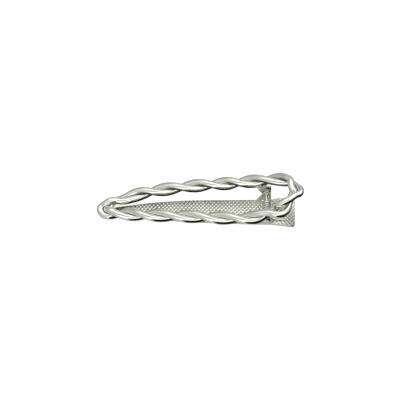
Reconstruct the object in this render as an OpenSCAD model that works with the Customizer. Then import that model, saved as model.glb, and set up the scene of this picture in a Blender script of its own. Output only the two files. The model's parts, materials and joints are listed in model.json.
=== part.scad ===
// Duckbill hair clip: a teardrop frame of two twisted strands, hinged over a flat knurled lower jaw.
// X runs from the tip to the press tail, Y to the far side, Z up. The clip lies closed on the plane Z = 0.

/* [Clip] */
// Length over all, from the tip to the end of the twisted frame
clip_length = 60; // [54:1:66]
// Width over the twisted frame at its widest place
clip_width = 16.4; // [15:0.1:18]

/* [Twisted frame] */
// Diameter of each of the two strands
strand_d = 2.1; // [2:0.05:2.3]
// Distance of a strand's middle from the middle of the pair; less than the radius, so the strands are fused
strand_out = 0.95; // [0.8:0.01:1]
// Height of the frame over the lower jaw, as a share of its usual height
frame_rise = 1; // [0.95:0.01:1.2]

/* [Lower jaw] */
// Thickness of the strip
strip_t = 1; // [0.8:0.05:1.2]
// Width of the strip where the ears rise
strip_w = 8; // [7.4:0.1:8.4]
// Width of the press tail
tail_w = 9.5; // [9:0.1:10]
// Distance from the tip of the frame to the end of the press tail
tail_end = 57.6; // [56:0.1:58.5]

/* [Hinge] */
// Distance from the tip of the frame to the hinge pin
pivot_x = 49.3; // [48.3:0.1:50.3]
// Height of the pin's middle over the strip
pivot_rise = 3.4; // [3.2:0.1:3.8]
// Diameter of the pin
pin_d = 1.5; // [1.2:0.05:1.6]
// Running gap round the pin in its bores
bore_gap = 0.05; // [0.03:0.01:0.08]
// Radius of the round ends of ears and lugs
eye_r = 1.3; // [1.25:0.05:1.5]
// Thickness of the lower jaw's ears and of the frame's lugs
ear_t = 0.7; // [0.6:0.05:0.8]
// Diameter of the pin's riveted heads
head_d = 2.4; // [2:0.1:2.8]
// Thickness of the pin's riveted heads
head_t = 0.4; // [0.3:0.05:0.5]

/* [Spring] */
// Diameter of the spring's wire
spring_wire = 0.64; // [0.56:0.02:0.7]
// Turns of the coil
spring_turns = 5; // [4:1:6]
// Distance between one turn and the next
spring_pitch = 0.77; // [0.72:0.01:0.8]

/* [Hidden] */

// The frame's half outline at the standard size of 60 by 16.4 mm, with a pair that reaches 2 mm from its middle.
// Columns: distance from the tip, half width to the middle of the pair, height of that middle over the strip,
// and how far the frame leans to the far side there.
FRAME_STATIONS = [
    [2, 0, 1.25, -0.63],
    [2.5, 0.62, 1.25, -0.9],
    [4, 1.7, 1.9, -0.63],
    [5.6, 2.23, 1.85, -0.32],
    [7.8, 2.4, 2.12, -0.27],
    [12.5, 3.54, 3.05, 0.03],
    [20, 4.45, 4.05, 0.15],
    [28.5, 5.2, 4.95, 0.15],
    [37, 5.8, 5.6, 0],
    [45.2, 6.13, 6.6, 0],
    [50.2, 5.47, 7.9, 0.54],
    [52.8, 5.14, 8.8, 0.37],
    [54.5, 4.32, 9.3, 0.65],
    [56, 2.99, 9.65, 1.39],
    [57.1, 1.1, 9.95, 1.11],
    [57.98, 0, 10.1, 0.7]
];
ACROSS = 1;
UP = 2;
LEAN = 3;
STANDARD_LENGTH = 60;
STANDARD_WIDTH = 16.4;
STANDARD_REACH = 2;
STANDARD_PIVOT = 49.3;

// Distances from the tip of the places where one of the strands lies outermost. The two strands take turns.
NEAR_CRESTS = [8.8, 16.6, 25.7, 34.8, 44.1, 52.4];
FAR_CRESTS = [10.7, 18.8, 27.7, 36.2, 43.6, 52];
// The crossing at the wide end lies this far past the middle of the loop, towards the far side.
APEX_SHIFT = 0.5;
// Round the tip the twist rests: between these two distances one strand stays outermost.
REST_NEAR = 2;
REST_FAR = 2.04;
// On the far side the inner strand dives: at this distance it has made this share of its first half turn.
DIVE_AT = 4;
DIVE = 0.58;
// On the near side the strands part most at this distance from the tip, over this length to each side.
SPREAD = 0.46;
SPREAD_AT = 52.9;
SPREAD_LONG = 5;

// The strip's half outline in front of the tail. Columns: distance from the tip, share of the full half width.
STRIP_STATIONS = [
    [5.1, 0.18],
    [8.4, 0.33],
    [13, 0.52],
    [17.3, 0.67],
    [26, 0.855],
    [33, 0.92],
    [46, 1]
];
strip_tip_r = 0.6;
// The tail widens behind the pin: at once on the far side, gently on the near side
shoulder_start = 1.3;
FAR_SHOULDER = 1.8;
NEAR_SHOULDER = 5.6;
tail_corner_r = 1.3;

// How far the ears and lugs spread from the pin towards the tip
flare = 3.2;
// Inner and outer edge of a lug's seat under the frame, measured from the middle of the clip
LUG_SEAT = [5.5, 6.7];
// Height over which a lug bends out to its seat
lug_rise = 0.8;
lug_sink = 0.5;
side_play = 0.12;
head_play = 0.08;

coil_play = 0.08;
coil_inset = 0.45;
seat_gap = 0.08;
tail_leg = 5.5;
tail_leg_bend = 2.2;
end_leg = 1.2;

spine_steps = 24;
way_span = 0.4;
strip_steps = 4;
strand_rings = 128;
strand_sides = 12;
spring_rings = 16;
spring_sides = 8;
arc_steps = 8;

strand_r = strand_d / 2;
pair_reach = strand_out + strand_r;
pivot = [pivot_x, strip_t + pivot_rise];
bore_d = pin_d + 2 * bore_gap;
flare_x = pivot_x - flare;
ear_out = strip_w / 2;
lug_in = ear_out + side_play;
lug_out = lug_in + ear_t;

// Curves

// Point on a centripetal Catmull-Rom curve from b to c, at the share t of the way.
function knot(p, q) = sqrt(norm(q - p));
function mix(p, q, from, to, at) = p + (q - p) * (at - from) / (to - from);
function curve_point(a, b, c, d, t) =
    let (k1 = knot(a, b), k2 = k1 + knot(b, c), k3 = k2 + knot(c, d))
    let (at = k1 + t * (k2 - k1))
    let (p = mix(a, b, 0, k1, at), q = mix(b, c, k1, k2, at), r = mix(c, d, k2, k3, at))
    mix(mix(p, q, 0, k2, at), mix(q, r, k1, k3, at), k1, k2, at);

function closed_curve(points, steps) =
    let (n = len(points))
    [for (i = [0:n - 1], k = [0:steps - 1])
        curve_point(points[(i + n - 1) % n], points[i], points[(i + 1) % n], points[(i + 2) % n], k / steps)];

function open_curve(points, steps) =
    let (n = len(points), first = 2 * points[0] - points[1], last = 2 * points[n - 1] - points[n - 2])
    let (all = concat([first], points, [last]))
    concat([for (i = [1:n - 1], k = [0:steps - 1])
        curve_point(all[i - 1], all[i], all[i + 1], all[i + 2], k / steps)], [points[n - 1]]);

function unit(v) = v / norm(v);

// Points of an arc in a plane
function arc(centre, r, from, to) =
    [for (i = [0:arc_steps]) let (a = from + (to - from) * i / arc_steps)
        centre + r * [cos(a), sin(a)]];

// Bearing, seen from the middle of a circle, of the touching point of the line from p to it.
// The sign turn picks one of the two lines.
function touch_angle(p, centre, r, turn) =
    let (d = p - centre)
    atan2(d[1], d[0]) + turn * acos(r / norm(d));

// The frame's spine: the middle line of the twisted pair, from the tip along the near side and back on the far side

long_k = clip_length / STANDARD_LENGTH;
wide_k = (clip_width / 2 - pair_reach) / (STANDARD_WIDTH / 2 - STANDARD_REACH);
function frame_station(row, side) = [
    row[0] * long_k,
    (side * row[ACROSS] + row[LEAN]) * wide_k,
    strip_t + row[UP] * frame_rise + pair_reach - STANDARD_REACH
];
last_row = len(FRAME_STATIONS) - 1;
spine_points = concat(
    [for (row = FRAME_STATIONS) frame_station(row, -1)],
    [for (i = [last_row - 1:-1:1]) frame_station(FRAME_STATIONS[i], 1)]
);
spine = closed_curve(spine_points, spine_steps);
spine_n = len(spine);
spine_reach = [for (i = 0, s = 0; i <= spine_n;
    s = s + norm(spine[(i + 1) % spine_n] - spine[i % spine_n]), i = i + 1) s];
spine_length = spine_reach[spine_n];
spine_axis = [for (c = [0:2]) [for (i = [0:spine_n]) [spine_reach[i], spine[i % spine_n][c]]]];

function wrap(s) = s - spine_length * floor(s / spine_length);
function spine_at(s) = [for (c = [0:2]) lookup(wrap(s), spine_axis[c])];
function spine_way(s) = unit(spine_at(s + way_span) - spine_at(s - way_span));
// The frame's own up, square to its face where it slopes
function spine_up(s) =
    let (way = spine_way(s), side = unit(cross([0, 0, 1], way)))
    cross(way, side);

// How far the twist has turned at a place round the frame, in half turns from the rest at the tip
half_spine = spine_n / 2;
reach_table = [for (i = [0:half_spine]) [spine[i][0], spine_reach[i]]];
function reach_of(x) = lookup(x * long_k, reach_table);
near_n = len(NEAR_CRESTS);
far_n = len(FAR_CRESTS);
half_turns = near_n + far_n + 2;
twist_knots = concat(
    [[-reach_of(DIVE_AT), -DIVE], [-reach_of(REST_FAR), 0], [reach_of(REST_NEAR), 0]],
    [for (i = [0:near_n - 1]) [reach_of(NEAR_CRESTS[i]), i + 1]],
    [[spine_length / 2 + APEX_SHIFT, near_n + 1]],
    [for (i = [far_n - 1:-1:0]) [spine_length - reach_of(FAR_CRESTS[i]), half_turns - 1 - i]],
    [[spine_length - reach_of(DIVE_AT), half_turns - DIVE], [spine_length - reach_of(REST_FAR), half_turns]],
    [[spine_length + reach_of(REST_NEAR), half_turns], [spine_length + reach_of(NEAR_CRESTS[0]), half_turns + 1]]
);
twist_blend = 0.8;
twist_window = [-3:3];
function turned(s) =
    let (parts = [for (k = twist_window) lookup(s + k * twist_blend, twist_knots)])
    (parts * [for (p = parts) 1]) / len(parts);
ring_step = spine_length / strand_rings;

// How far each strand stands off further than usual, next to the wide end
widest = reach_of(SPREAD_AT);
function spread(s) = SPREAD * (1 + cos(180 * min(1, abs(s - widest) / SPREAD_LONG))) / 2;

// Middle of one strand at a ring. The strand with the phase 180 lies on the outside of the tip.
function strand_middle(i, phase) =
    let (k = (i + strand_rings) % strand_rings, s = k * ring_step)
    let (up = spine_up(s), left = cross(up, spine_way(s)), a = 180 * turned(s) + phase)
    spine_at(s) + (strand_out + spread(s)) * (cos(a) * left + sin(a) * up);

// A round tube along points, closed on itself or with flat ends

function ring_at(p, way, up, r, sides) =
    let (e = unit(up - (up * way) * way), f = cross(way, e))
    [for (k = [0:sides - 1]) let (a = 360 * k / sides) p + r * (cos(a) * f + sin(a) * e)];

module tube(rings, sides, closed) {
    n = len(rings);
    last = closed ? n - 1 : n - 2;
    walls = [for (i = [0:last], k = [0:sides - 1])
        let (a = i * sides, b = ((i + 1) % n) * sides, m = (k + 1) % sides)
        each [[a + k, a + m, b + k], [a + m, b + m, b + k]]];
    ends = closed ? [] : [[for (k = [sides - 1:-1:0]) k], [for (k = [0:sides - 1]) (n - 1) * sides + k]];
    polyhedron([for (ring = rings) each ring], concat(walls, ends));
}

module strand(phase) {
    middles = [for (i = [0:strand_rings - 1]) strand_middle(i, phase)];
    rings = [for (i = [0:strand_rings - 1])
        let (next = middles[(i + 1) % strand_rings], before = middles[(i + strand_rings - 1) % strand_rings])
        ring_at(middles[i], unit(next - before), spine_up(i * ring_step), strand_r, strand_sides)];
    tube(rings, strand_sides, true);
}

// Flat plates that stand along X, from y0 to y1
module upright(outline, y0, y1) {
    translate([0, y1, 0])
        rotate([90, 0, 0])
            linear_extrude(y1 - y0) polygon(outline);
}

module bore() {
    translate([pivot[0], 0, pivot[1]])
        rotate([90, 0, 0])
            cylinder(h = 2 * clip_width, d = bore_d, center = true, $fn = 48);
}

// Everything is drawn from the tip, then set with the middle of the clip over the origin
module placed() {
    translate([-clip_length / 2, 0, 0]) children();
}

// The lower jaw: strip, tail and two ears

strip_side = open_curve(
    [for (row = STRIP_STATIONS) [row[0] * pivot_x / STANDARD_PIVOT, row[1] * strip_w / 2]],
    strip_steps
);
tail_start = pivot_x + shoulder_start;
tail_half = tail_w / 2;
tail_corner = [tail_end - tail_corner_r, tail_half - tail_corner_r];
function half_jaw(shoulder) = concat(
    arc([strip_side[0][0], 0], strip_tip_r, 180, 100),
    strip_side,
    [[tail_start, strip_w / 2], [tail_start + shoulder, tail_half]],
    arc(tail_corner, tail_corner_r, 90, 0)
);
near_half = half_jaw(NEAR_SHOULDER);
jaw_outline = concat(
    half_jaw(FAR_SHOULDER),
    [for (i = [len(near_half) - 1:-1:1]) [near_half[i][0], -near_half[i][1]]]
);

ear_foot = [[flare_x, strip_t / 2], [pivot_x + eye_r, strip_t / 2]];
ear_outline = concat(
    ear_foot,
    arc(pivot, eye_r, 0, touch_angle(ear_foot[0], pivot, eye_r, -1) + 360)
);

module lower_jaw() {
    color("#aeb09f")
        placed()
            difference() {
                union() {
                    linear_extrude(strip_t) polygon(jaw_outline);
                    upright(ear_outline, ear_out - ear_t, ear_out);
                    upright(ear_outline, -ear_out, ear_t - ear_out);
                }
                bore();
            }
}

// The lugs: each hangs beside an ear, and above the pin's head it bends out to its seat under the frame

function lowest_strand(x) =
    min([for (i = [0:strand_rings - 1], phase = [0, 180])
        let (p = strand_middle(i, phase)) if (abs(p[0] - x) < ring_step) p[2]]) - strand_r;
lug_back = pivot_x + eye_r;
lug_head = [
    [lug_back, lowest_strand(lug_back) + lug_sink],
    [flare_x, lowest_strand(flare_x) + lug_sink]
];
lug_outline = concat(
    lug_head,
    arc(pivot, eye_r, touch_angle(lug_head[1], pivot, eye_r, 1), 360)
);
lug_bend = pivot[1] + head_d / 2 + head_play;
lug_under = lug_bend + lug_rise;
lug_seat = LUG_SEAT * wide_k;
lug_section = [
    [lug_in, strip_t],
    [lug_out, strip_t],
    [lug_out, lug_bend],
    [lug_seat[1], lug_under],
    [lug_seat[1], lug_head[0][1]],
    [lug_seat[0], lug_head[0][1]],
    [lug_seat[0], lug_under + ear_t / 2],
    [lug_in, lug_bend + ear_t / 2]
];

module lug() {
    difference() {
        intersection() {
            upright(lug_outline, 0, clip_width);
            translate([flare_x, 0, 0])
                rotate([90, 0, 90])
                    linear_extrude(flare + eye_r) polygon(lug_section);
        }
        bore();
    }
}

// The frame: two strands in one piece, drawn out to the exact length and width of the clip, and its two lugs
module twisted_frame() {
    color("#c9cac2")
        placed() {
            resize([clip_length, clip_width, 0]) {
                strand(180);
                strand(0);
            }
            lug();
            mirror([0, 1, 0]) lug();
        }
}

// The pin, riveted over at both ends

pin_half = lug_out + head_play;

module hinge_pin() {
    color("#d6d7d0")
        placed()
            translate([pivot[0], 0, pivot[1]])
                rotate([90, 0, 0]) {
                    cylinder(h = 2 * (pin_half + head_t), d = pin_d, center = true, $fn = 48);
                    for (side = [-1, 1])
                        translate([0, 0, side * (pin_half + head_t / 2)])
                            cylinder(h = head_t, d = head_d, center = true, $fn = 48);
                }
}

// The spring: a coil on the pin, one leg lying on the tail and a short end that rises beside the pin

coil_r = (pin_d + spring_wire) / 2 + coil_play;
coil_near = ear_t - ear_out + coil_inset;
coil_far = coil_near + spring_turns * spring_pitch;
coil_steps = spring_turns * spring_rings;
// The coil starts under the pin at the near end, winds towards the tip and stops on that side at the far end
coil_from = -90;
coil_to = coil_from - 360 * spring_turns - 90;
function coil_point(t) =
    let (a = coil_from + (coil_to - coil_from) * t)
    [pivot[0] + coil_r * cos(a), coil_near + (coil_far - coil_near) * t, pivot[1] + coil_r * sin(a)];
coil_points = [for (i = [0:coil_steps]) coil_point(i / coil_steps)];
leg_low = strip_t + spring_wire / 2 + seat_gap;
coil_end = coil_points[coil_steps];
spring_line = concat(
    [[pivot_x + tail_leg, coil_near, leg_low], [pivot_x + tail_leg_bend, coil_near, leg_low + seat_gap]],
    coil_points,
    [coil_end + [0, 0, end_leg / 2], coil_end + [0, 0, end_leg]]
);

module spring() {
    n = len(spring_line);
    ways = [for (i = [0:n - 1]) unit(spring_line[min(i + 1, n - 1)] - spring_line[max(i - 1, 0)])];
    rings = [for (i = [0:n - 1]) ring_at(spring_line[i], ways[i], [0, 1, 0], spring_wire / 2, spring_sides)];
    color("#c4c5bd")
        placed() tube(rings, spring_sides, false);
}

lower_jaw();
hinge_pin();
spring();
twisted_frame();
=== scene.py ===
"""Dresses a duckbill hair clip in bright plated metal and lays it on a pale table in soft studio light."""

import json
import math

import bpy
import numpy as np
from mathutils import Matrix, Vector


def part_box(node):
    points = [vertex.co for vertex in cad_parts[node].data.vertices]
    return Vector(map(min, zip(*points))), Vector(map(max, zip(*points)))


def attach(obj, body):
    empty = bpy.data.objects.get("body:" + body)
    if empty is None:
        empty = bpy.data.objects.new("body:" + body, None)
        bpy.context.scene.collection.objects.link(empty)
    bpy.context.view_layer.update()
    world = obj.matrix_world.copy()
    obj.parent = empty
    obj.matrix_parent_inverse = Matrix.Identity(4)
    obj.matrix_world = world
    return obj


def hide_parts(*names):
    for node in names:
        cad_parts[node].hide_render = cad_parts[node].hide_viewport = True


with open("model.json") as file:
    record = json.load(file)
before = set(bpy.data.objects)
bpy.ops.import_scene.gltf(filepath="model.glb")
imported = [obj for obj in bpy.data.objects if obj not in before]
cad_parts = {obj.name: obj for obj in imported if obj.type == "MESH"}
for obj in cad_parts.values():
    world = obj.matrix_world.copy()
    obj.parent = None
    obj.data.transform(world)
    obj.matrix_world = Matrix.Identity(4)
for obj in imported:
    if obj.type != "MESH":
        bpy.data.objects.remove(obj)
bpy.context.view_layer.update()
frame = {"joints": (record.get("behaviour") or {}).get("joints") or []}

bl_info = {
    "name": "Duckbill Hair Clip",
    "version": (1, 0, 0),
    "blender": (4, 5, 0),
    "location": "3D View > Sidebar > Hair Clip",
    "description": "Builds a plated hair clip: twisted frame, knurled jaw, riveted pin and coil spring",
    "category": "Add Mesh",
}

MM = 0.001
TIP_X = -30
PIVOT_X, PIVOT_Z = (frame["joints"][0]["pos_m"][axis] / MM for axis in (0, 2))

# All the shapes are worked out in millimetres. A distance from the tip is counted along X.
# Rows of the frame: distance from the tip, half width, height over the lower jaw, lean to the far side.
FRAME_STATIONS = (
    (2, 0, 1.25, -0.63),
    (2.5, 0.62, 1.25, -0.9),
    (4, 1.7, 1.9, -0.63),
    (5.6, 2.23, 1.85, -0.32),
    (7.8, 2.4, 2.12, -0.27),
    (12.5, 3.54, 3.05, 0.03),
    (20, 4.45, 4.05, 0.15),
    (28.5, 5.2, 4.95, 0.15),
    (37, 5.8, 5.6, 0),
    (45.2, 6.13, 6.6, 0),
    (50.2, 5.47, 7.9, 0.54),
    (52.8, 5.14, 8.8, 0.37),
    (54.5, 4.32, 9.3, 0.65),
    (56, 2.99, 9.65, 1.39),
    (57.1, 1.1, 9.95, 1.11),
    (57.98, 0, 10.1, 0.7),
)
# Distances from the tip where one of the strands lies outermost. The two strands take turns.
NEAR_CRESTS = (8.8, 16.6, 25.7, 34.8, 44.1, 52.4)
FAR_CRESTS = (10.7, 18.8, 27.7, 36.2, 43.6, 52)
# The crossing at the wide end lies this far past the middle of the loop, towards the far side.
APEX_SHIFT = 0.5
# Round the tip the twist rests, from the first of these distances on the far side to the second on the near.
REST_FAR, REST_NEAR = 2.04, 2
# On the far side the inner strand dives: at this distance it has made this share of its first half turn.
DIVE_AT, DIVE = 4, 0.58
# On the near side the strands part most at this distance from the tip, over this length to each side.
SPREAD, SPREAD_AT, SPREAD_LONG = 0.46, 52.9, 5
# Changes in the twist's pace are blended over this length to each side, in this many steps.
PACE_BLEND, PACE_STEPS = 2.4, 25
# The direction of the pair's middle line is measured over this length to each side.
WAY_STEP = 0.4
# Steps of that line from station to station, rings along a strand and sides round it.
SPAN_STEPS, STRAND_RINGS, STRAND_SIDES = 48, 720, 28

# Rows of the strip: distance from the tip, share of the full half width.
STRIP_STATIONS = ((5.1, 0.18), (8.4, 0.33), (13, 0.52), (17.3, 0.67), (26, 0.855), (33, 0.92), (46, 1))
STRIP_HALF, TAIL_HALF = 4, 4.75
STRIP_TIP_R, TAIL_CORNER_R = 0.6, 1.3
# The strip widens into the tail from the first of these distances, over a length of its own on each side.
SHOULDER_FROM, FAR_SHOULDER, NEAR_SHOULDER = 50.6, 1.8, 5.6
TAIL_END = 57.6
STRIP_T = 1

# The lugs and the ears: plates with a round eye at the pin, which widen to a corner towards the tip.
EYE_R, PLATE_T = 1.3, 0.7
FLARE_X = PIVOT_X - 3.2
BORE_R, BORE_REACH, BORE_SIDES = 0.8, 9, 40
# Turns over the eye's outline, from beside its pole to its widest place.
EYE_TURNS = np.linspace(math.radians(6), math.pi / 2, 10)
# Square of the least half width that the eye keeps at its pole.
EYE_POLE = 0.02
PLATE_STEPS, PLATE_COLUMNS = 8, 15
# The edges of these plates are worn this many times as round as the strip's.
PLATE_EDGE = 2
ROUNDED_FROM = 50


def linear(hex_colour):
    """A linear colour from an sRGB hex value such as "#d9dad0"."""
    channels = [int(hex_colour[i:i + 2], 16) / 255 for i in (1, 3, 5)]
    return tuple(c / 12.92 if c <= 0.04045 else ((c + 0.055) / 1.055) ** 2.4 for c in channels)


class ClipSizes(bpy.types.PropertyGroup):
    """Sizes of the strands, the knurl, the worn edges and the spring."""

    strand_d: bpy.props.FloatProperty(
        name="Strand", description="Diameter of each of the two strands",
        default=2.1 * MM, min=1.5 * MM, max=2.5 * MM, subtype="DISTANCE", unit="LENGTH", precision=5)
    strand_out: bpy.props.FloatProperty(
        name="Strand offset", description="Distance of a strand's middle from the middle of the pair",
        default=0.95 * MM, min=0.7 * MM, max=1.1 * MM, subtype="DISTANCE", unit="LENGTH", precision=5)
    knurl_long: bpy.props.FloatProperty(
        name="Knurl length", description="Length of one diamond of the knurl, along the clip",
        default=1.1 * MM, min=0.6 * MM, max=2 * MM, subtype="DISTANCE", unit="LENGTH", precision=5)
    knurl_wide: bpy.props.FloatProperty(
        name="Knurl width", description="Width of one diamond of the knurl, across the clip",
        default=1.22 * MM, min=0.6 * MM, max=2 * MM, subtype="DISTANCE", unit="LENGTH", precision=5)
    knurl_deep: bpy.props.FloatProperty(
        name="Knurl depth", description="Depth of the knurl's grooves",
        default=0.13 * MM, min=0, max=0.3 * MM, subtype="DISTANCE", unit="LENGTH", precision=5)
    edge_r: bpy.props.FloatProperty(
        name="Edge", description="Radius of the worn edges of the stamped plates",
        default=0.12 * MM, min=0.02 * MM, max=0.3 * MM, subtype="DISTANCE", unit="LENGTH", precision=5)
    spring_wire: bpy.props.FloatProperty(
        name="Spring wire", description="Diameter of the spring's wire",
        default=0.64 * MM, min=0.5 * MM, max=0.7 * MM, subtype="DISTANCE", unit="LENGTH", precision=5)
    spring_turns: bpy.props.IntProperty(
        name="Turns", description="Turns of the spring's coil", default=5, min=3, max=6)


class ClipFinish(bpy.types.PropertyGroup):
    """Colours and polish of the metals, and the dark colour painted in as shade."""

    plating: bpy.props.FloatVectorProperty(
        name="Plating", description="Colour of the bright plating",
        default=linear("#f1f2e8"), size=3, min=0, max=1, subtype="COLOR")
    # Painted shade: this near-black colour is painted into creases, on faces that look down and low on the
    # strands' inner faces, as painted shade and painted dark reflection.
    painted_shade: bpy.props.FloatVectorProperty(
        name="Dulled plating", description="Colour of the plating where it is worn or hard to polish",
        default=linear("#2a2a25"), size=3, min=0, max=1, subtype="COLOR")
    knurled: bpy.props.FloatVectorProperty(
        name="Knurled plating", description="Colour of the thinner plating on the knurled jaw",
        default=linear("#e9eadd"), size=3, min=0, max=1, subtype="COLOR")
    spring_steel: bpy.props.FloatVectorProperty(
        name="Spring steel", description="Colour of the plated spring wire",
        default=linear("#f4f4ea"), size=3, min=0, max=1, subtype="COLOR")


class ClipStudio(bpy.types.PropertyGroup):
    """The table, the light and the camera."""

    table: bpy.props.FloatVectorProperty(
        name="Table", description="Colour of the table", default=linear("#fdfdfb"), size=3, min=0, max=1,
        subtype="COLOR")
    light: bpy.props.FloatProperty(
        name="Light", description="Strength of the studio light", default=1.06, min=0, max=5)
    azimuth: bpy.props.FloatProperty(
        name="Camera azimuth", description="Bearing of the camera round the clip",
        default=math.radians(0.8), subtype="ANGLE", unit="ROTATION")
    elevation: bpy.props.FloatProperty(
        name="Camera elevation", description="Height of the camera over the horizon",
        default=math.radians(58.5), min=0, max=math.radians(90), subtype="ANGLE", unit="ROTATION")
    lens: bpy.props.FloatProperty(
        name="Lens", description="Focal length of the camera in millimetres", default=500, min=20, max=1000)


# Making meshes

def new_piece(name, points, faces, body):
    """A mesh piece from points in millimetres, riding on a body of the clip."""
    mesh = bpy.data.meshes.new(name)
    mesh.from_pydata([tuple(p) for p in np.asarray(points) * MM], [], faces)
    mesh.validate()
    piece = bpy.data.objects.new(name, mesh)
    bpy.context.scene.collection.objects.link(piece)
    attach(piece, body)
    return piece


def smooth(piece, sharp_angle):
    """Smooth shading that stops at edges sharper than the angle in degrees."""
    mesh = piece.data
    mesh.shade_smooth()
    mesh.set_sharp_from_angle(angle=math.radians(sharp_angle))


def settle(piece):
    """Applies the piece's modifiers to its mesh."""
    depsgraph = bpy.context.evaluated_depsgraph_get()
    made = bpy.data.meshes.new_from_object(piece.evaluated_get(depsgraph))
    piece.modifiers.clear()
    piece.data = made


def cut_or_join(piece, other, operation):
    """Joins the other piece to this one, or cuts it away, and removes it."""
    tool = piece.modifiers.new(operation, "BOOLEAN")
    tool.operation = operation
    tool.solver = "MANIFOLD"
    tool.object = other
    tool.material_mode = "TRANSFER"
    settle(piece)
    bpy.data.objects.remove(other)


def round_edges(piece, width, segments=3):
    """Rounds the edges of a plate or the cut ends of a wire, where they turn by over ROUNDED_FROM degrees."""
    tool = piece.modifiers.new("rounded", "BEVEL")
    tool.width = width
    tool.segments = segments
    tool.limit_method = "ANGLE"
    tool.angle_limit = math.radians(ROUNDED_FROM)
    settle(piece)


def loft(loops, closed_path):
    """Faces over a row of loops that all have the same number of points. Open paths get flat ends."""
    rows, sides = loops.shape[:2]
    faces = []
    for i in range(rows if closed_path else rows - 1):
        a, b = i * sides, ((i + 1) % rows) * sides
        faces += [(a + k, a + (k + 1) % sides, b + (k + 1) % sides, b + k) for k in range(sides)]
    if not closed_path:
        faces += [tuple(range(sides))[::-1], tuple((rows - 1) * sides + k for k in range(sides))]
    return loops.reshape(-1, 3), faces


def unit(vectors):
    """The vectors at length 1."""
    return vectors / np.linalg.norm(vectors, axis=-1, keepdims=True)


def tube(middles, ups, radius, sides, closed_path):
    """A round tube along the points, with the given up directions, whose faces look outwards."""
    if closed_path:
        ways = unit(np.roll(middles, -1, axis=0) - np.roll(middles, 1, axis=0))
    else:
        ways = unit(np.gradient(middles, axis=0))
    ups = unit(ups - (ups * ways).sum(axis=1, keepdims=True) * ways)
    lefts = np.cross(ways, ups)
    turns = -np.linspace(0, 2 * math.pi, sides, endpoint=False)[None, :, None]
    rings = middles[:, None] + radius * (np.cos(turns) * lefts[:, None] + np.sin(turns) * ups[:, None])
    return loft(rings, closed_path)


def mix(p, q, start, end, at):
    """The value at a place between p at the start and q at the end."""
    return p + (q - p) * (at - start) / (end - start)


def curve_through(points, steps, closed_path):
    """A centripetal Catmull-Rom curve through the points."""
    points = [np.array(p, float) for p in points]
    count = len(points)
    if closed_path:
        spans = [[points[(i + k) % count] for k in (-1, 0, 1, 2)] for i in range(count)]
    else:
        longer = [2 * points[0] - points[1], *points, 2 * points[-1] - points[-2]]
        spans = [longer[i:i + 4] for i in range(count - 1)]
    made = []
    for a, b, c, d in spans:
        k1 = np.linalg.norm(b - a) ** 0.5
        k2 = k1 + np.linalg.norm(c - b) ** 0.5
        k3 = k2 + np.linalg.norm(d - c) ** 0.5
        for at in np.linspace(k1, k2, steps, endpoint=False):
            p, q, r = mix(a, b, 0, k1, at), mix(b, c, k1, k2, at), mix(c, d, k2, k3, at)
            made.append(mix(mix(p, q, 0, k2, at), mix(q, r, k1, k3, at), k1, k2, at))
    if not closed_path:
        made.append(points[-1])
    return np.array(made)


# The twisted frame

class Spine:
    """The middle line of the twisted pair, from the tip along the near side and back on the far side."""

    def __init__(self):
        near_rows = [(-1, row) for row in FRAME_STATIONS]
        far_rows = [(1, row) for row in FRAME_STATIONS[-2:0:-1]]
        points = [
            (d + TIP_X, side * half + lean, STRIP_T + height)
            for side, (d, half, height, lean) in near_rows + far_rows
        ]
        line = curve_through(points, SPAN_STEPS, True)
        steps = np.linalg.norm(np.roll(line, -1, axis=0) - line, axis=1)
        self.reach = np.concatenate([[0], np.cumsum(steps)])
        self.length = self.reach[-1]
        self.line = np.vstack([line, line[:1]])
        half_way = len(line) // 2 + 1
        near = self.line[:half_way, 0] - TIP_X, self.reach[:half_way]
        # The strands take turns at every crest, at the tip and at the wide end
        crests = len(NEAR_CRESTS) + len(FAR_CRESTS) + 2

        def reach_of(distance):
            return np.interp(distance, *near)

        # Each knot is a place along the line and the half turns that the twist has made there
        dive_and_rests = [(-reach_of(DIVE_AT), -DIVE), (-reach_of(REST_FAR), 0), (reach_of(REST_NEAR), 0)]
        near_knots = [(reach_of(d), i + 1) for i, d in enumerate(NEAR_CRESTS)]
        apex_knot = (self.length / 2 + APEX_SHIFT, len(NEAR_CRESTS) + 1)
        far_knots = [(self.length - reach_of(d), crests - 1 - i) for i, d in enumerate(FAR_CRESTS)]
        once_round = [(self.length + s, crests + turns) for s, turns in dive_and_rests + near_knots[:1]]
        self.knots = np.array(dive_and_rests + near_knots + [apex_knot] + far_knots[::-1] + once_round).T
        self.widest = reach_of(SPREAD_AT)

    def at(self, s):
        """Points of the line at the distances s along it."""
        s = s % self.length
        return np.stack([np.interp(s, self.reach, self.line[:, axis]) for axis in range(3)], axis=-1)

    def way(self, s):
        """Directions of the line at the distances s along it."""
        return unit(self.at(s + WAY_STEP) - self.at(s - WAY_STEP))

    def turned(self, s):
        """How far the twist has turned, in half turns from the rest at the tip."""
        blend = np.linspace(-PACE_BLEND, PACE_BLEND, PACE_STEPS)
        return np.interp(s[:, None] + blend[None], *self.knots).mean(axis=1)

    def spread(self, s):
        """How far each strand stands off further than usual, next to the wide end."""
        away = np.abs(s - self.widest) / SPREAD_LONG
        return SPREAD * (1 + np.cos(math.pi * np.minimum(away, 1))) / 2

    def strand(self, phase, out):
        """Middle and up direction of one strand at evenly spaced rings.
        phase is its start in half turns, and out is its distance from the middle of the pair."""
        s = np.arange(STRAND_RINGS) * self.length / STRAND_RINGS
        way = self.way(s)
        side = unit(np.cross((0, 0, 1), way))
        up = np.cross(way, side)
        left = np.cross(up, way)
        turn = math.pi * (self.turned(s) + phase)[:, None]
        out = out + self.spread(s)[:, None]
        return self.at(s) + out * (np.cos(turn) * left + np.sin(turn) * up), up


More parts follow.
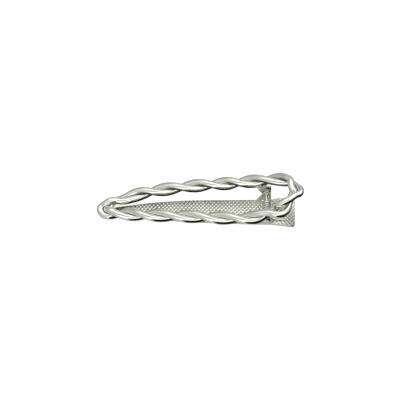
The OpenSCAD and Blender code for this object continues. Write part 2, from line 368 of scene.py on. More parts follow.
def eye_edges(z, corner_x, corner_z, down):
    """Left and right edge of a plate with a round eye at the pin, at the heights z.
    The plate widens from the eye to a corner towards the tip; down says that the eye is its lower end."""
    to_corner = np.array((corner_x - PIVOT_X, corner_z - PIVOT_Z))
    lean = math.acos(EYE_R / np.linalg.norm(to_corner))
    bearing = math.atan2(to_corner[1], to_corner[0]) + (lean if down else -lean)
    touch_x, touch_z = PIVOT_X + EYE_R * math.cos(bearing), PIVOT_Z + EYE_R * math.sin(bearing)
    sign = 1 if down else -1
    chord = np.sqrt(np.maximum(EYE_R ** 2 - (z - PIVOT_Z) ** 2, EYE_POLE))
    slope = (corner_x - touch_x) / (corner_z - touch_z)
    left = np.where(sign * (z - touch_z) > 0, touch_x + slope * (z - touch_z), PIVOT_X - chord)
    right = np.where(sign * (z - PIVOT_Z) > 0, PIVOT_X + EYE_R, PIVOT_X + chord)
    return left, right


def eye_plate(path, corner_z, down, spread, crown):
    """A plate that follows a path of (y, z) points and stands along X, with an eye round the pin.
    spread is how much each of its two faces stands out at each point of the path, and crown is how much
    further its inner face bulges in the middle."""
    path = np.asarray(path)
    left, right = eye_edges(path[:, 1], FLARE_X, corner_z, down)
    along = unit(np.gradient(path, axis=0))
    normal = np.stack([-along[:, 1], along[:, 0]], axis=1)
    shares = np.linspace(0, 1, PLATE_COLUMNS)
    bulge = 1 - (2 * shares - 1) ** 2
    loops = []
    for p, n, x0, x1, (low, high), swell in zip(path, normal, left, right, spread, crown):
        xs = x0 + (x1 - x0) * shares
        face = [(x, *(p + n * (high + swell * more))) for x, more in zip(xs, bulge)]
        back = [(x, *(p - n * low)) for x in xs[::-1]]
        loops.append(face + back)
    return loft(np.array(loops), False)


def on_side(side, points, faces):
    """A shape made for the far side, mirrored where it belongs on the near side."""
    if side > 0:
        return points, faces
    return points * (1, -1, 1), [face[::-1] for face in faces]


def bore(metal):
    """A round bar along Y that fits the pin's bores, to cut with; the cut faces take the part's own metal."""
    middles = np.array([(PIVOT_X, y, PIVOT_Z) for y in (-BORE_REACH, BORE_REACH)], float)
    points, faces = tube(middles, np.array([(0, 0, 1)] * 2, float), BORE_R, BORE_SIDES, False)
    bar = new_piece("bore", points, faces, "lower")
    bar.data.materials.append(metal)
    return bar


def join_plates(piece, plate_on, metal, edge_r):
    """Joins a plate to the piece on each side, with worn edges and a bore for the pin."""
    for side in (1, -1):
        plate = plate_on(side)
        round_edges(plate, PLATE_EDGE * edge_r)
        plate.data.materials.append(metal)
        cut_or_join(plate, bore(metal), "DIFFERENCE")
        cut_or_join(piece, plate, "UNION")


LUG_Y, LUG_BEND_Z, LUG_CORNER_Z, LUG_TOP_Z = 4.47, 5.7, 6.9, 7.6
# Points (y, z) of each lug's swoop to the strand above.
LUG_SWOOP = {
    1: ((4.57, 6.05), (4.83, 6.5), (5.22, 7.0), (5.6, LUG_TOP_Z)),
    -1: ((4.57, 6.05), (4.8, 6.5), (5.1, 7.0), (5.4, LUG_TOP_Z)),
}
# How far the top of each lug turns outwards for each millimetre along X.
LUG_TURN = {1: 0.3, -1: -0.6}
# Each face of a lug's top stands out by the first of these, and the middle of its inner face by the second.
LUG_SWELL, LUG_CROWN = 0.15, 0.35
# The bulge sets in at this height and is full after this rise.
CROWN_FROM_Z, CROWN_RISE = 5.85, 0.9


def lug(side):
    """One hinge lug: hangs beside an ear, swoops out over the pin's head and ends inside the strand above."""
    eye = PIVOT_Z - EYE_R * np.cos(EYE_TURNS)
    stem = np.concatenate([eye, np.linspace(PIVOT_Z, LUG_BEND_Z, PLATE_STEPS)[1:]])
    swoop = curve_through([(LUG_Y, LUG_BEND_Z), *LUG_SWOOP[side]], PLATE_STEPS, False)
    path = np.vstack([np.stack([np.full_like(stem, LUG_Y), stem], axis=1), swoop[1:]])

    def risen(z):
        return np.clip((z - LUG_BEND_Z) / (LUG_TOP_Z - LUG_BEND_Z), 0, 1)

    spread = PLATE_T / 2 + LUG_SWELL * risen(path[:, 1])
    crown = LUG_CROWN * np.sin(np.clip((path[:, 1] - CROWN_FROM_Z) / CROWN_RISE, 0, 1) * math.pi / 2)
    points, faces = eye_plate(path, LUG_CORNER_Z, True, np.stack([spread, spread], axis=1), crown)
    middle_x = (FLARE_X + PIVOT_X) / 2
    points[:, 1] += LUG_TURN[side] * (points[:, 0] - middle_x) * risen(points[:, 2]) ** 2
    points, faces = on_side(side, points, faces)
    return new_piece(f"lug_{side}", points, faces, "upper")


class HAIRCLIP_OT_frame(bpy.types.Operator):
    """Makes the open frame: two twisted strands cast in one with the two hinge lugs"""

    bl_idname = "hairclip.frame"
    bl_label = "Twisted frame"

    def execute(self, context):
        sizes = context.scene.clip_sizes
        spine = Spine()
        tubes = []
        for phase in (1, 0):
            middles, ups = spine.strand(phase, sizes.strand_out / MM)
            tubes.append(tube(middles, ups, sizes.strand_d / MM / 2, STRAND_SIDES, True))
        # The strands are as long and as wide as the frame of the solid part, and keep their own heights
        low = np.min([points.min(axis=0) for points, _ in tubes], axis=0)
        high = np.max([points.max(axis=0) for points, _ in tubes], axis=0)
        cad_low, cad_high = (np.array(corner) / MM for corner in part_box("twisted_frame"))
        scale = (cad_high - cad_low) / (high - low)
        scale[2] = 1
        offset = cad_low - low * scale
        offset[2] = 0
        strands = [
            new_piece(f"strand_{i}", points * scale + offset, faces, "upper")
            for i, (points, faces) in enumerate(tubes)
        ]
        piece = strands[0]
        piece.name = "frame_of_twisted_strands"
        finish = context.scene.clip_finish
        strand_metal = bright_cast_plating(finish)
        for strand in strands:
            strand.data.materials.append(strand_metal)
        cut_or_join(piece, strands[1], "UNION")
        join_plates(piece, lug, satin_cast_plating(finish), sizes.edge_r)
        smooth(piece, sharp_angle=32)
        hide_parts("twisted_frame")
        return {"FINISHED"}


# The lower jaw

# The bends of the jaw's outline are blended over this length to each side, in this many steps.
BEND_BLEND, BEND_STEPS = 0.4, 9
SIDE_STEPS = 8
# Square of the least half width that the nose keeps at its end.
NOSE_END = 0.0004
# The slopes of the knurl's diamonds would run on to this many times its height, so their points are blunt.
KNURL_BLUNT = 1.2
# Share of the knurl's depth that is worn away on the tail, and the length over which the wear sets in.
TAIL_WEAR, WEAR_LONG = 0.5, 2
# Rows along the strip: the first one's distance from its end, the gap behind the round nose, and the step of
# the even rows after it.
FIRST_ROW, NOSE_GAP, ROW_STEP = 0.02, 0.12, 0.115
NOSE_ROWS, CORNER_ROWS, TOP_COLUMNS, EDGE_POINTS = 14, 18, 76, 4
# The rounded edges take up at most this share of the near half of the strip.
EDGE_SHARE = 0.7


def half_width(distance, shoulder):
    """Half width of the lower jaw at distances from the tip, on one side.
    shoulder is the length over which that side widens into the tail."""
    side = curve_through([(d, share * STRIP_HALF) for d, share in STRIP_STATIONS], SIDE_STEPS, False)
    nose = STRIP_STATIONS[0][0]
    tail = TAIL_END - TAIL_CORNER_R
    xs = np.concatenate([side[:, 0], [SHOULDER_FROM, SHOULDER_FROM + shoulder, TAIL_END]])
    ys = np.concatenate([side[:, 1], [STRIP_HALF, TAIL_HALF, TAIL_HALF]])
    shifts = np.linspace(-BEND_BLEND, BEND_BLEND, BEND_STEPS)
    half = np.mean([np.interp(distance + shift, xs, ys) for shift in shifts], axis=0)
    nose_half = np.sqrt(np.maximum(STRIP_TIP_R ** 2 - np.minimum(distance - nose, 0) ** 2, NOSE_END))
    half = np.where(distance < nose, np.minimum(half, nose_half), half)
    corner = np.sqrt(np.maximum(TAIL_CORNER_R ** 2 - np.maximum(distance - tail, 0) ** 2, 0))
    return np.where(distance > tail, TAIL_HALF - TAIL_CORNER_R + corner, half)


def knurl(x, y, long, wide):
    """Height of the diamond knurl at a place, from 0 in a groove to 1 on a point."""
    heights = []
    for way in (1, -1):
        share = x / long + way * y / wide
        heights.append(1 - np.abs(2 * (share - np.floor(share)) - 1))
    return np.minimum(1, KNURL_BLUNT * np.minimum(*heights))


def strip(sizes):
    """The strip and its tail: a flat stamped plate whose upper face is knurled all over."""
    edge = sizes.edge_r / MM
    nose, end = STRIP_STATIONS[0][0] - STRIP_TIP_R, TAIL_END
    quarter = math.pi / 2
    distances = np.concatenate([
        nose + FIRST_ROW + STRIP_TIP_R * (1 - np.cos(np.linspace(0, quarter, NOSE_ROWS))),
        np.arange(nose + STRIP_TIP_R + NOSE_GAP, end - TAIL_CORNER_R, ROW_STEP),
        end - TAIL_CORNER_R + TAIL_CORNER_R * np.sin(np.linspace(0, quarter, CORNER_ROWS)),
    ])
    halves = zip(half_width(distances, FAR_SHOULDER), half_width(distances, NEAR_SHOULDER))
    corner = np.linspace(0, quarter, EDGE_POINTS)
    across = np.linspace(0, 1, TOP_COLUMNS)[1:-1]
    loops = []
    for d, (far, near) in zip(distances, halves):
        r = min(edge, EDGE_SHARE * near)
        end_gap = max(min(d - nose, end - d), 0)
        inset = edge - math.sqrt(edge ** 2 - (edge - end_gap) ** 2) if end_gap < edge else 0
        far_low = [(far - r + r * math.sin(a), r - r * math.cos(a)) for a in corner]
        far_high = [(far - r + r * math.cos(a), STRIP_T - r + r * math.sin(a)) for a in corner]
        top = [(far - r - (far + near - 2 * r) * share, STRIP_T) for share in across]
        near_high = [(r - near - r * math.sin(a), STRIP_T - r + r * math.cos(a)) for a in corner]
        near_low = [(r - near - r * math.cos(a), r - r * math.sin(a)) for a in corner]
        outline = np.array(far_low + far_high + top + near_high + near_low)
        y, z = outline[:, 0], outline[:, 1]
        kept = 1 - TAIL_WEAR * min(max((d - SHOULDER_FROM) / WEAR_LONG, 0), 1)
        height = knurl(d, y, sizes.knurl_long / MM, sizes.knurl_wide / MM)
        depth = kept * sizes.knurl_deep / MM * (1 - height)
        z = z - depth * np.clip((z - STRIP_T + edge) / edge, 0, 1)
        z = np.clip(z, inset, STRIP_T - inset)
        loops.append(np.stack([np.full_like(y, d + TIP_X), y, z], axis=1))
    points, faces = loft(np.array(loops), False)
    return new_piece("knurled_jaw_with_ears", points, faces, "lower")


EAR_Y, EAR_FOOT_Z, EAR_ROOT_R = 3.65, 0.5, 0.55


def ear(side):
    """One ear of the lower jaw, folded up from the strip beside the spring."""
    eye = PIVOT_Z + EYE_R * np.cos(EYE_TURNS)
    root_z = STRIP_T + EAR_ROOT_R
    stem = np.concatenate([
        eye,
        np.linspace(PIVOT_Z, root_z, PLATE_STEPS)[1:],
        np.linspace(root_z, EAR_FOOT_Z, PLATE_STEPS)[1:],
    ])
    path = np.stack([np.full_like(stem, EAR_Y), stem], axis=1)[::-1]
    rise = np.clip((root_z - path[:, 1]) / EAR_ROOT_R, 0, 1)
    root = EAR_ROOT_R * (1 - np.sqrt(1 - rise ** 2))
    flat = np.full_like(root, PLATE_T / 2)
    spread = np.stack([flat, flat + root], axis=1)
    points, faces = on_side(side, *eye_plate(path, EAR_FOOT_Z, False, spread, np.zeros_like(root)))
    return new_piece(f"ear_{side}", points, faces, "lower")


class HAIRCLIP_OT_jaw(bpy.types.Operator):
    """Makes the lower jaw: a knurled strip with a press tail and two ears"""

    bl_idname = "hairclip.jaw"
    bl_label = "Lower jaw"

    def execute(self, context):
        sizes = context.scene.clip_sizes
        piece = strip(sizes)
        metal = stamped_knurled_plating(context.scene.clip_finish)
        piece.data.materials.append(metal)
        join_plates(piece, ear, metal, sizes.edge_r)
        smooth(piece, sharp_angle=42)
        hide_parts("lower_jaw")
        return {"FINISHED"}


# The pin and the spring

PIN_R, HEAD_R, HEAD_T, HEAD_FROM = 0.75, 1.2, 0.4, 4.9
# Riveting swells the pin under each head and leaves the head with a chamfer, a straight rim and a dome.
SWELL_R, SWELL_LONG, CHAMFER_R, CHAMFER_T, RIM_T, DOME_TOP_R = 0.06, 0.25, 0.05, 0.04, 0.1, 0.02
DOME_STEPS, PIN_SIDES = 9, 56


class HAIRCLIP_OT_pin(bpy.types.Operator):
    """Makes the hinge pin, riveted over into a low dome at both ends"""

    bl_idname = "hairclip.pin"
    bl_label = "Hinge pin"

    def execute(self, context):
        rise = np.linspace(0, math.pi / 2, DOME_STEPS)[:-1]
        rim, dome_t = HEAD_FROM + RIM_T, HEAD_T - RIM_T
        half = [
            (0.0, PIN_R),
            (HEAD_FROM - SWELL_LONG, PIN_R),
            (HEAD_FROM, PIN_R + SWELL_R),
            (HEAD_FROM, HEAD_R - CHAMFER_R),
            (HEAD_FROM + CHAMFER_T, HEAD_R),
            *((rim + dome_t * math.sin(a), HEAD_R * math.cos(a)) for a in rise),
            (HEAD_FROM + HEAD_T, DOME_TOP_R),
        ]
        profile = [(-y, r) for y, r in reversed(half[1:])] + half
        turns = np.linspace(0, 2 * math.pi, PIN_SIDES, endpoint=False)
        rings = [
            [(PIVOT_X + r * math.cos(a), y, PIVOT_Z - r * math.sin(a)) for a in turns]
            for y, r in profile
        ]
        points, faces = loft(np.array(rings), False)
        piece = new_piece("riveted_hinge_pin", points, faces, "lower")
        smooth(piece, sharp_angle=50)
        piece.data.materials.append(polished_steel(context.scene.clip_finish))
        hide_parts("hinge_pin")
        return {"FINISHED"}


# Y of the coil's near end, step from turn to turn, and air between the coil and the pin.
COIL_NEAR, COIL_PITCH, COIL_PLAY = -2.85, 0.77, 0.08
# The long leg's end and its bend, past the pin, the rise out of the bend, and the leg's air over the tail.
TAIL_LEG, TAIL_LEG_BEND, LEG_RISE, LEG_SEAT = 5.5, 2.2, 0.75, 0.08
# The rise of the short end, and the radius of the wire's cut ends.
END_LEG, WIRE_END_R = 1.2, 0.1
TURN_STEPS, LEG_STEPS, END_STEPS, WIRE_SIDES = 48, 10, 8, 20


class HAIRCLIP_OT_spring(bpy.types.Operator):
    """Makes the torsion spring: a close coil on the pin with one leg on the tail"""

    bl_idname = "hairclip.spring"
    bl_label = "Spring"

    def execute(self, context):
        sizes = context.scene.clip_sizes
        wire_r = sizes.spring_wire / MM / 2
        coil_r = PIN_R + wire_r + COIL_PLAY
        turns = sizes.spring_turns
        angles = -math.pi / 2 - np.linspace(0, 2 * math.pi * turns + math.pi / 2, TURN_STEPS * turns)
        shares = np.linspace(0, 1, len(angles))
        coil = np.stack([
            PIVOT_X + coil_r * np.cos(angles),
            COIL_NEAR + COIL_PITCH * turns * shares,
            PIVOT_Z + coil_r * np.sin(angles),
        ], axis=1)
        low = STRIP_T + wire_r + LEG_SEAT
        leg = curve_through([
            (PIVOT_X + TAIL_LEG, COIL_NEAR, low),
            (PIVOT_X + TAIL_LEG / 2 + TAIL_LEG_BEND / 2, COIL_NEAR, low),
            (PIVOT_X + TAIL_LEG_BEND, COIL_NEAR, low + LEG_SEAT),
            (PIVOT_X + TAIL_LEG_BEND / 2, COIL_NEAR, low + LEG_RISE),
            tuple(coil[0]),
        ], LEG_STEPS, False)[:-1]
        end = [coil[-1] + (0, 0, rise) for rise in np.linspace(0, END_LEG, END_STEPS)[1:]]
        middles = np.vstack([leg, coil, end])
        ups = np.tile((0.0, 1.0, 0.0), (len(middles), 1))
        points, faces = tube(middles, ups, wire_r, WIRE_SIDES, False)
        piece = new_piece("torsion_spring", points, faces, "lower")
        round_edges(piece, WIRE_END_R * MM, segments=2)
        smooth(piece, sharp_angle=50)
        piece.data.materials.append(drawn_spring_wire(context.scene.clip_finish))
        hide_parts("spring")
        return {"FINISHED"}


# Materials

# Patches of the painted crease shade are this many ripples wide, and this is the room that an open face has
# before it.
PATCH_RIPPLES, ROOM_MM = 5, 2
# Scratches: their scale along the clip as a share of that across it, their depth, and how much rougher they
# leave the metal.
SCRATCH_STRETCH, SCRATCH_DEEP_MM, SCRATCHED_ROUGHER = 0.12, 0.004, 1.8


def add_node(tree, kind, inputs=None, **settings):
    """Adds a node, makes its settings, and sets or links its inputs."""
    node = tree.nodes.new(kind)
    for name, value in settings.items():
        setattr(node, name, value)
    for name, value in (inputs or {}).items():
        if isinstance(value, bpy.types.NodeSocket):
            tree.links.new(value, node.inputs[name])
        else:
            node.inputs[name].default_value = value
    return node


def new_material(name):
    """An empty node material and its tree."""
    material = bpy.data.materials.new(name)
    material.use_nodes = True
    material.node_tree.nodes.clear()
    return material, material.node_tree


def colour(rgb):
    """The colour with full opacity, as a colour socket takes it."""
    return (*rgb, 1)


def plated(name, bright, shade_colour, rough, ripple_mm, ripple_deep_mm, scratch_mm, crease_shade_mm, inside=0):
    """A plated metal: a bright coat with painted shade in its creases and on faces that look down, with a
    faint ripple and fine scratches.
    The sizes are the width and depth of the ripple, the width of a scratch and the width of a shaded crease.
    inside is how much dark reflection is painted low down on faces that look towards the middle of the clip.
    Real scratches are too fine to show, so these are drawn coarser."""
    material, tree = new_material(name)
    coordinates = add_node(tree, "ShaderNodeTexCoord")
    place = coordinates.outputs["Object"]
    facing = add_node(tree, "ShaderNodeSeparateXYZ", {"Vector": coordinates.outputs["Normal"]})

    # Painted shade in the creases: the coat darkens where an occlusion test finds little room, in patches of
    # random strength
    crease = add_node(
        tree, "ShaderNodeAmbientOcclusion", {"Distance": crease_shade_mm * MM}, samples=8, only_local=True)
    crease_share = add_node(tree, "ShaderNodeMapRange", {
        "Value": crease.outputs["AO"], "From Min": 0.25, "From Max": 0.75, "To Min": 1, "To Max": 0})
    clouds = add_node(tree, "ShaderNodeTexNoise", {
        "Vector": place, "Scale": 1 / (PATCH_RIPPLES * ripple_mm * MM), "Detail": 3})
    patches = add_node(tree, "ShaderNodeMapRange", {
        "Value": clouds.outputs["Fac"], "From Min": 0.35, "From Max": 0.6, "To Min": 0.6, "To Max": 1})
    crease_shade = add_node(tree, "ShaderNodeMath", {
        0: crease_share.outputs["Result"], 1: patches.outputs["Result"]}, operation="MULTIPLY")

    # Painted shade on faces that look down
    shade_underneath = add_node(tree, "ShaderNodeMapRange", {
        "Value": facing.outputs["Z"], "From Min": 0.12, "From Max": -0.2, "To Min": 0, "To Max": 0.2})
    shade_in_creases_and_under = add_node(tree, "ShaderNodeMath", {
        0: crease_shade.outputs[0], 1: shade_underneath.outputs["Result"]}, operation="MAXIMUM")

    # Painted dark reflection on faces low down that look towards the middle of the clip and have some room
    # before them
    seat = add_node(tree, "ShaderNodeSeparateXYZ", {"Vector": place})
    inwards = add_node(tree, "ShaderNodeMapRange", {
        "Value": seat.outputs["Y"], "From Min": -MM, "From Max": MM, "To Min": 1, "To Max": -1})
    looks_in = add_node(tree, "ShaderNodeMath", {
        0: inwards.outputs["Result"], 1: facing.outputs["Y"]}, operation="MULTIPLY")
    turned_in = add_node(tree, "ShaderNodeMapRange", {
        "Value": looks_in.outputs[0], "From Min": 0.1, "From Max": 0.5, "To Min": 0, "To Max": inside})
    low_down = add_node(tree, "ShaderNodeMapRange", {
        "Value": facing.outputs["Z"], "From Min": 0.46, "From Max": 0.18, "To Min": 0, "To Max": 1})
    room = add_node(
        tree, "ShaderNodeAmbientOcclusion", {"Distance": ROOM_MM * MM}, samples=8, only_local=True)
    in_the_open = add_node(tree, "ShaderNodeMapRange", {
        "Value": room.outputs["AO"], "From Min": 0.55, "From Max": 0.8, "To Min": 0.25, "To Max": 1})
    low_inside = add_node(tree, "ShaderNodeMath", {
        0: turned_in.outputs["Result"], 1: low_down.outputs["Result"]}, operation="MULTIPLY")
    dark_reflection_inside = add_node(tree, "ShaderNodeMath", {
        0: low_inside.outputs[0], 1: in_the_open.outputs["Result"]}, operation="MULTIPLY")

    # The coat turns towards the painted shade colour by the strongest of the painted shade and the painted
    # dark reflection
    painted_shade_share = add_node(tree, "ShaderNodeMath", {
        0: shade_in_creases_and_under.outputs[0], 1: dark_reflection_inside.outputs[0]}, operation="MAXIMUM")
    coat = add_node(tree, "ShaderNodeMix", {
        "Factor": painted_shade_share.outputs[0], "A": colour(bright), "B": colour(shade_colour)}, data_type="RGBA")

    # The ripple bends the reflections, and the scratches roughen them along the clip
    ripple = add_node(tree, "ShaderNodeTexNoise", {
        "Vector": place, "Scale": 1 / (ripple_mm * MM), "Detail": 2})
    lines = add_node(tree, "ShaderNodeMapping", {"Vector": place, "Scale": (SCRATCH_STRETCH, 1, 1)})
    scratches = add_node(tree, "ShaderNodeTexNoise", {
        "Vector": lines.outputs["Vector"], "Scale": 1 / (scratch_mm * MM), "Detail": 4, "Roughness": 0.7})
    polish = add_node(tree, "ShaderNodeMapRange", {
        "Value": scratches.outputs["Fac"], "From Min": 0.35, "From Max": 0.7,
        "To Min": rough, "To Max": rough * SCRATCHED_ROUGHER})
    low = add_node(tree, "ShaderNodeBump", {
        "Height": ripple.outputs["Fac"], "Strength": 1, "Distance": ripple_deep_mm * MM})
    fine = add_node(tree, "ShaderNodeBump", {
        "Height": scratches.outputs["Fac"], "Strength": 0.6, "Distance": SCRATCH_DEEP_MM * MM,
        "Normal": low.outputs["Normal"]})
    surface = add_node(tree, "ShaderNodeBsdfPrincipled", {
        "Base Color": coat.outputs["Result"], "Metallic": 1.0, "Roughness": polish.outputs["Result"],
        "Normal": fine.outputs["Normal"]})
    add_node(tree, "ShaderNodeOutputMaterial", {"Surface": surface.outputs["BSDF"]})
    return material


def bright_cast_plating(finish):
    """Cast zinc alloy, tumbled smooth and bright plated: a mirror whose soft ripples bend the reflections.
    Painted shade darkens its creases and undersides, and painted dark reflection its low inner faces.
    """
    return plated(
        "bright_plated_cast_alloy", finish.plating, finish.painted_shade, rough=0.06, ripple_mm=1.6,
        ripple_deep_mm=0.012, scratch_mm=0.25, crease_shade_mm=0.5, inside=1)


def satin_cast_plating(finish):
    """The same casting on the lugs, which the polishing drum hardly reaches: satin, with soft reflections."""
    return plated(
        "satin_plated_cast_alloy", finish.plating, finish.painted_shade, rough=0.14, ripple_mm=0.6,
        ripple_deep_mm=0.03, scratch_mm=0.2, crease_shade_mm=0.5)


def stamped_knurled_plating(finish):
    """Stamped steel strip with a rolled knurl, bright plated: the points glint and the grooves carry painted
    shade.
    """
    return plated(
        "bright_plated_knurled_steel", finish.knurled, finish.painted_shade, rough=0.18, ripple_mm=0.8,
        ripple_deep_mm=0.006, scratch_mm=0.15, crease_shade_mm=0.15)


def polished_steel(finish):
    """Turned and plated steel rivet: a nearly clean mirror."""
    return plated(
        "polished_plated_rivet", finish.plating, finish.painted_shade, rough=0.1, ripple_mm=0.8,
        ripple_deep_mm=0.004, scratch_mm=0.1, crease_shade_mm=0.6)


def drawn_spring_wire(finish):
    """Drawn and plated spring wire: a satin shine over fine scratches."""
    return plated(
        "drawn_plated_spring_wire", finish.spring_steel, finish.painted_shade, rough=0.14, ripple_mm=0.5,
        ripple_deep_mm=0.002, scratch_mm=0.08, crease_shade_mm=0.25)


# The stage

# The photo's width and scale, and where it shows the clip's origin.
PHOTO_WIDTH_PX, PX_PER_MM = 400, 3.45
ORIGIN_PX = (200.0, 212.4)
TABLE_REACH, TABLE_DROP_MM, TABLE_GRAIN_MM, TABLE_GRAIN_DEEP_MM = 1.5, 0.02, 2, 0.02

# The studio as the metal reflects it, in columns from the tip's end to the tail's. Each column has the X part
# of its direction and rows of a bearing in degrees and a brightness. The bearing is 0 at the front horizon,
# 90 overhead and 180 at the back horizon, and it's negative below the horizon. Three columns share a wall.
BACK_WALL = ((125, 1.0), (132, 0.45), (148, 0.42), (156, 0.6), (170, 0.6), (180, 0.5))
STUDIO = (
    (-0.9, ((-180, 0.42), (-100, 0.42), (-60, 0.45), (60, 0.5), (110, 0.45), (180, 0.42))),
    (-0.6, (
        (-180, 0.42), (-100, 0.42), (-60, 0.5), (-20, 0.5), (60, 0.6), (72, 0.8), (108, 0.8), (120, 0.42),
        (135, 0.34), (170, 0.34), (180, 0.42),
    )),
    (-0.14, (
        (-180, 0.42), (-100, 0.42), (-60, 0.6), (-20, 0.55), (2, 0.55), (10, 1.5), (38, 1.4), (46, 0.38),
        (68, 0.4), (76, 1.0), (84, 0.75), (92, 1.4), (106, 1.4), (112, 1.1), *BACK_WALL,
    )),
    (0.02, (
        (-180, 0.42), (-118, 0.4), (-78, 0.6), (-56, 0.6), (-44, 0.01), (18, 0.01), (24, 0.9), (30, 1.6),
        (48, 1.5), (54, 0.36), (74, 0.38), (82, 1.0), (88, 0.75), (94, 1.4), (107, 1.4), (113, 1.1),
        *BACK_WALL,
    )),
    (0.28, (
        (-180, 0.42), (-118, 0.4), (-95, 0.01), (34, 0.01), (42, 1.7), (60, 1.6), (66, 0.36), (82, 0.38),
        (88, 1.0), (92, 0.75), (97, 1.4), (107, 1.4), (113, 1.1), *BACK_WALL,
    )),
    (0.6, (
        (-180, 0.42), (-118, 0.4), (-95, 0.01), (34, 0.01), (42, 1.2), (60, 0.6), (74, 1.6), (110, 1.6),
        (125, 1.0), (135, 0.45), (170, 0.5), (180, 0.45),
    )),
    (0.9, ((-180, 0.42), (-100, 0.02), (20, 0.02), (50, 0.6), (110, 0.45), (180, 0.42))),
)


def studio_column(tree, share, rows, top):
    """One column of the studio: its brightness over the bearing, as a share of the brightest row of all."""
    ramp = add_node(tree, "ShaderNodeValToRGB", {"Fac": share})
    stops = ramp.color_ramp.elements
    while len(stops) < len(rows):
        stops.new(0.5)
    for stop, (degrees, level) in zip(stops, rows):
        stop.position = (degrees + 180) / 360
        stop.color = colour([level / top] * 3)
    return ramp.outputs["Color"]


def studio_world(studio):
    """A light tent with long soft boxes along the clip, and a dark opening low down in front of its tail."""
    world = bpy.data.worlds.new("studio")
    bpy.context.scene.world = world
    world.use_nodes = True
    tree = world.node_tree
    tree.nodes.clear()
    way = add_node(tree, "ShaderNodeTexCoord").outputs["Generated"]
    parts = add_node(tree, "ShaderNodeSeparateXYZ", {"Vector": way})
    front = add_node(tree, "ShaderNodeMath", {0: parts.outputs["Y"], 1: -1.0}, operation="MULTIPLY")
    bearing = add_node(tree, "ShaderNodeMath", {
        0: parts.outputs["Z"], 1: front.outputs[0]}, operation="ARCTAN2")
    share = add_node(tree, "ShaderNodeMapRange", {
        "Value": bearing.outputs[0], "From Min": -math.pi, "From Max": math.pi, "To Min": 0, "To Max": 1})
    top = max(level for _, rows in STUDIO for _, level in rows)
    before, first_rows = STUDIO[0]
    tent = studio_column(tree, share.outputs["Result"], first_rows, top)
    for along, rows in STUDIO[1:]:
        column = studio_column(tree, share.outputs["Result"], rows, top)
        blend = add_node(tree, "ShaderNodeMapRange", {
            "Value": parts.outputs["X"], "From Min": before, "From Max": along},
            interpolation_type="SMOOTHSTEP")
        both = add_node(tree, "ShaderNodeMix", {
            "Factor": blend.outputs["Result"], "A": tent, "B": column}, data_type="RGBA")
        tent, before = both.outputs["Result"], along
    light = add_node(tree, "ShaderNodeBackground", {"Color": tent, "Strength": top * studio.light})
    add_node(tree, "ShaderNodeOutputWorld", {"Surface": light.outputs["Background"]})


def table_material(studio):
    """Matt white acrylic, lit from below: an even pale ground that takes only a soft shadow."""
    material, tree = new_material("matt_white_acrylic")
    place = add_node(tree, "ShaderNodeTexCoord").outputs["Object"]
    grain = add_node(tree, "ShaderNodeTexNoise", {
        "Vector": place, "Scale": 1 / (TABLE_GRAIN_MM * MM), "Detail": 2})
    bump = add_node(tree, "ShaderNodeBump", {
        "Height": grain.outputs["Fac"], "Strength": 0.1, "Distance": TABLE_GRAIN_DEEP_MM * MM})
    surface = add_node(tree, "ShaderNodeBsdfPrincipled", {
        "Base Color": colour(studio.table), "Roughness": 0.7, "Normal": bump.outputs["Normal"],
        "Emission Color": colour(studio.table), "Emission Strength": 0.7})
    add_node(tree, "ShaderNodeOutputMaterial", {"Surface": surface.outputs["BSDF"]})
    return material


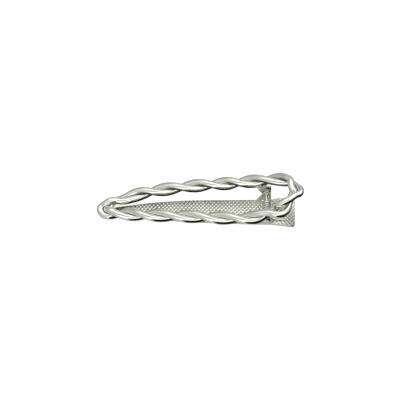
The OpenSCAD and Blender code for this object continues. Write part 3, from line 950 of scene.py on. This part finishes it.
class HAIRCLIP_OT_stage(bpy.types.Operator):
    """Lays out the pale table, the studio light and the camera"""

    bl_idname = "hairclip.stage"
    bl_label = "Table, light and camera"

    def execute(self, context):
        scene, studio = context.scene, context.scene.clip_studio
        mesh = bpy.data.meshes.new("table")
        corners = [(x * TABLE_REACH, y * TABLE_REACH, 0) for x, y in ((-1, -1), (1, -1), (1, 1), (-1, 1))]
        mesh.from_pydata(corners, [], [(0, 1, 2, 3)])
        table = bpy.data.objects.new("table", mesh)
        scene.collection.objects.link(table)
        # The table lies a hair under the clip, so that no face of the one is in a face of the other
        table.location.z = -TABLE_DROP_MM * MM
        mesh.materials.append(table_material(studio))
        # The metal mirrors the studio's dark opening, also where the white table would hide it
        table.visible_glossy = False
        studio_world(studio)

        lens = bpy.data.cameras.new("camera")
        camera = bpy.data.objects.new("camera", lens)
        scene.collection.objects.link(camera)
        scene.camera = camera
        a, e = studio.azimuth, studio.elevation
        right = Vector((math.cos(a), math.sin(a), 0))
        back = Vector((math.sin(a) * math.cos(e), -math.cos(a) * math.cos(e), math.sin(e)))
        up = back.cross(right)
        centre = PHOTO_WIDTH_PX / 2
        aim = (right * (centre - ORIGIN_PX[0]) + up * (ORIGIN_PX[1] - centre)) / PX_PER_MM * MM
        lens.lens = studio.lens
        away = PHOTO_WIDTH_PX / PX_PER_MM * MM * lens.lens / lens.sensor_width
        camera.location = aim + back * away
        camera.rotation_mode = "QUATERNION"
        camera.rotation_quaternion = back.to_track_quat("Z", "Y")
        lens.clip_start, lens.clip_end = 0.01, 10
        scene.view_settings.view_transform = "Standard"
        return {"FINISHED"}


class HAIRCLIP_PT_maker(bpy.types.Panel):
    """Lists the steps that make the clip"""

    bl_idname = "HAIRCLIP_PT_maker"
    bl_label = "Duckbill hair clip"
    bl_space_type = "VIEW_3D"
    bl_region_type = "UI"
    bl_category = "Hair Clip"

    def draw(self, context):
        layout, scene = self.layout, context.scene
        for group in (scene.clip_sizes, scene.clip_finish, scene.clip_studio):
            box = layout.box()
            for name in group.__annotations__:
                box.prop(group, name)
        for step in STEPS:
            layout.operator(step.bl_idname)


GROUPS = {"clip_sizes": ClipSizes, "clip_finish": ClipFinish, "clip_studio": ClipStudio}
STEPS = (HAIRCLIP_OT_frame, HAIRCLIP_OT_jaw, HAIRCLIP_OT_pin, HAIRCLIP_OT_spring, HAIRCLIP_OT_stage)


def register():
    for made in (*GROUPS.values(), *STEPS, HAIRCLIP_PT_maker):
        bpy.utils.register_class(made)
    for name, group in GROUPS.items():
        setattr(bpy.types.Scene, name, bpy.props.PointerProperty(type=group))


def unregister():
    for name in GROUPS:
        delattr(bpy.types.Scene, name)
    for made in (HAIRCLIP_PT_maker, *reversed(STEPS), *reversed(GROUPS.values())):
        bpy.utils.unregister_class(made)


def main():
    """Makes every piece and the stage."""
    register()
    bpy.ops.hairclip.frame()
    bpy.ops.hairclip.jaw()
    bpy.ops.hairclip.pin()
    bpy.ops.hairclip.spring()
    bpy.ops.hairclip.stage()


if __name__ == "__main__":
    main()
